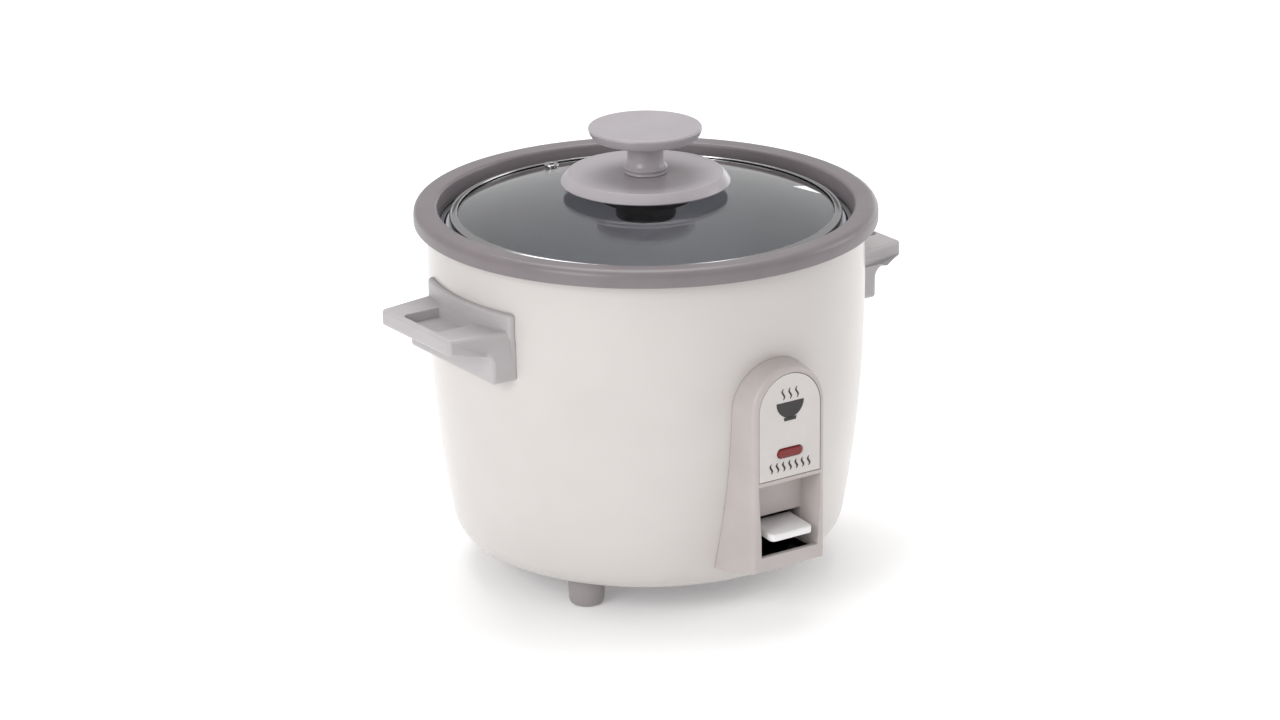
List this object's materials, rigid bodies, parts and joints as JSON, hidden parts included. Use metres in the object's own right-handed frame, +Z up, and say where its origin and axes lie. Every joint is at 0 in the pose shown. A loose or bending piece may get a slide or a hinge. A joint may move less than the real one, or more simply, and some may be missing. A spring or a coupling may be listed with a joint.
{
  "type": "rice cooker",
  "caption": "Small electric rice cooker with a lift-off glass lid and inner pot, side handles and a front lever switch that lifts a magnet under the heating plate.",
  "frame": {"origin": "on the table, under the middle of the body", "axes": "+Z up, -Y towards the front panel, +X to the right-hand handle as the front is faced"},
  "size_m": [0.2408, 0.2184, 0.2001],
  "materials": {
    "enamel": "glossy warm-white enamel on drawn steel",
    "grey_plastic": "satin mid-grey moulded phenolic plastic",
    "pale_plastic": "satin pale-grey moulded plastic",
    "badge": "satin pale-grey painted plate",
    "white_plastic": "smooth white moulded plastic",
    "red_lens": "clear red moulded lens",
    "black_plastic": "black moulded phenolic plastic",
    "aluminium": "spun or cast aluminium with fine turning lines",
    "steel": "zinc-plated steel",
    "bright_steel": "polished stainless steel",
    "brass": "plain brass",
    "magnet": "dark sintered ferrite",
    "glass": "clear tempered glass",
    "rubber": "black silicone rubber",
    "wire": "insulated lead"
  },
  "bodies": {
    "root": {"outer_shell": "enamel", "rim_ring": "grey_plastic", "inner_liner": "aluminium", "bottom_cover": "grey_plastic", "foot_front_left": "grey_plastic", "foot_front_right": "grey_plastic", "foot_rear": "grey_plastic", "foot_screw_front_left": "steel", "foot_screw_front_right": "steel", "foot_screw_rear": "steel", "plate_post_front_left": "steel", "plate_post_front_right": "steel", "plate_post_rear": "steel", "heating_plate": "aluminium", "heater_terminal_left": "brass", "heater_terminal_right": "brass", "thermal_fuse": "white_plastic", "fuse_strap": "steel", "front_panel": "pale_plastic", "badge_plate": "badge", "indicator_lens": "red_lens", "indicator_lamp": "glass", "lamp_holder": "white_plastic", "panel_screw_left": "steel", "panel_screw_right": "steel", "inlet_housing": "grey_plastic", "inlet_pin_left": "bright_steel", "inlet_pin_right": "bright_steel", "switch_bracket": "steel", "bracket_screw_left": "steel", "bracket_screw_right": "steel", "pivot_pin": "bright_steel", "switch_tray": "black_plastic", "contact_block": "black_plastic", "lead_live": "wire", "lead_neutral": "wire", "lead_contact": "wire", "handle_left": "grey_plastic", "handle_right": "grey_plastic", "handle_screw_left_front": "steel", "handle_screw_left_rear": "steel", "handle_screw_right_front": "steel", "handle_screw_right_rear": "steel"},
    "lever": {"switch_lever": "steel", "switch_paddle": "white_plastic"},
    "magnet": {"magnet_rod": "steel", "lift_magnet": "magnet"},
    "plunger": {"contact_plunger": "white_plastic"},
    "sensor": {"sensor_cap": "aluminium", "sensor_ferrite": "magnet", "sensor_spring": "bright_steel"},
    "pot": {"inner_pot": "aluminium"},
    "lid": {"glass_dome": "glass", "lid_band": "bright_steel", "lid_seal": "rubber", "knob_base": "grey_plastic", "knob": "pale_plastic", "knob_cap": "black_plastic", "knob_screw": "steel", "steam_vent": "bright_steel"}
  },
  "joints": [
    {"name": "lever_press", "type": "hinge", "parent": "root", "child": "lever", "pos_m": [0, -0.046, 0.04], "axis": [1, 0, 0], "range_deg": [0, 5.6], "stiffness_Nm_per_rad": 0.08, "springref_deg": -5.73},
    {"name": "magnet_lift", "type": "slide", "parent": "root", "child": "magnet", "axis": [0, 0, 1], "range_m": [0, 0.0045]},
    {"name": "plunger_lift", "type": "slide", "parent": "root", "child": "plunger", "axis": [0, 0, 1], "range_m": [0, 0.0019]},
    {"name": "sensor_press", "type": "slide", "parent": "root", "child": "sensor", "axis": [0, 0, 1], "range_m": [-0.0015, 0], "stiffness_N_per_m": 600, "springref_m": 0.002, "deforming": ["sensor_spring"]},
    {"name": "pot_lift", "type": "slide", "parent": "root", "child": "pot", "axis": [0, 0, 1], "range_m": [0, 0.14]},
    {"name": "lid_lift", "type": "slide", "parent": "pot", "child": "lid", "axis": [0, 0, 1], "range_m": [0, 0.12]}
  ],
  "couplings": [
    {"joint": "magnet_lift", "follows": "lever_press", "m_per_rad": 0.045927},
    {"joint": "plunger_lift", "follows": "lever_press", "m_per_rad": 0.01897}
  ]
}
